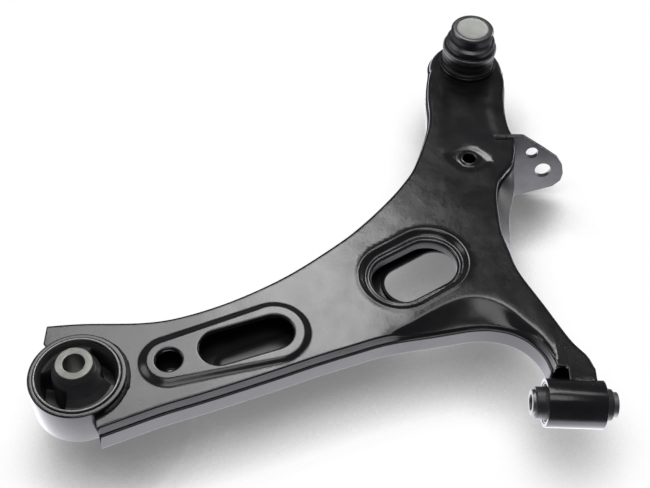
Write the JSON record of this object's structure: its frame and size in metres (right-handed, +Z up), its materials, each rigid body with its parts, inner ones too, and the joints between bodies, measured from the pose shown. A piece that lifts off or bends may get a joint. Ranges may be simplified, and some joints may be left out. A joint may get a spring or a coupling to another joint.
{
  "type": "control arm",
  "caption": "Pressed steel lower control arm with a vertical rear bush, an axial front bush, a ball joint at the outer end and a side bracket; swings about the bush axis.",
  "frame": {"origin": "centre of the rear bush, on the swing axis that runs through both bushes", "axes": "+X along the swing axis from the rear bush to the front bush, +Y outboard towards the ball joint, +Z up along the rear bush's bolt"},
  "size_m": [0.448, 0.4527, 0.1096],
  "materials": {
    "black_coat": "satin black dip coat",
    "weld_coat": "coated weld bead",
    "ball_steel": "ground bearing steel",
    "plated_steel": "zinc plated",
    "sleeve_steel": "plain drawn steel",
    "bush_rubber": "matte moulded rubber",
    "liner_plastic": "greased bearing liner",
    "housing_steel": "dark satin",
    "end_plate_steel": "pressed steel disc",
    "boot_rubber": "matte moulded rubber"
  },
  "bodies": {
    "arm": {"upper_shell": "black_coat", "lower_shell": "black_coat", "rear_bush_ring": "black_coat", "ring_weld_upper": "weld_coat", "ring_weld_lower": "weld_coat", "front_bush_tube": "black_coat", "tube_weld_upper": "weld_coat", "tube_weld_lower": "weld_coat", "stabiliser_bracket": "black_coat", "bracket_weld": "weld_coat", "ball_stud_boss": "black_coat", "ball_stud": "ball_steel", "castle_nut": "plated_steel", "cotter_pin": "plated_steel", "rear_bush_outer_sleeve": "sleeve_steel", "rear_bush_rubber": "bush_rubber", "front_bush_outer_sleeve": "sleeve_steel", "front_bush_rubber": "bush_rubber", "dust_boot": "boot_rubber", "boot_lower_ring": "plated_steel"},
    "rear_sleeve": {"rear_bush_inner_sleeve": "sleeve_steel"},
    "front_sleeve": {"front_bush_inner_sleeve": "sleeve_steel"},
    "ball_cross_x": {"ball_liner_lower": "liner_plastic"},
    "ball_cross_y": {"ball_liner_upper": "liner_plastic", "boot_clamp_ring": "plated_steel"},
    "ball_housing": {"ball_joint_housing": "housing_steel", "preload_disc": "plated_steel", "ball_joint_end_plate": "end_plate_steel"}
  },
  "joints": [
    {"name": "rear_bush_tilt", "type": "hinge", "parent": "arm", "child": "rear_sleeve", "pos_m": [0, 0, 0], "axis": [1, 0, 0], "range_deg": [-16, 16], "stiffness_Nm_per_rad": 45, "deforming": ["rear_bush_rubber"]},
    {"name": "front_bush_twist", "type": "hinge", "parent": "arm", "child": "front_sleeve", "pos_m": [0.378, 0, 0], "axis": [1, 0, 0], "range_deg": [-22, 22], "stiffness_Nm_per_rad": 40, "deforming": ["front_bush_rubber"]},
    {"name": "ball_tilt_x", "type": "hinge", "parent": "arm", "child": "ball_cross_x", "pos_m": [0.318, 0.371, 0.04], "axis": [1, 0, 0], "range_deg": [-22, 22], "deforming": ["dust_boot"]},
    {"name": "ball_tilt_y", "type": "hinge", "parent": "ball_cross_x", "child": "ball_cross_y", "pos_m": [0.318, 0.371, 0.04], "axis": [0, 1, 0], "range_deg": [-10, 10]},
    {"name": "ball_spin", "type": "hinge", "parent": "ball_cross_y", "child": "ball_housing", "pos_m": [0.318, 0.371, 0.04], "axis": [0, 0, 1], "continuous": true}
  ]
}
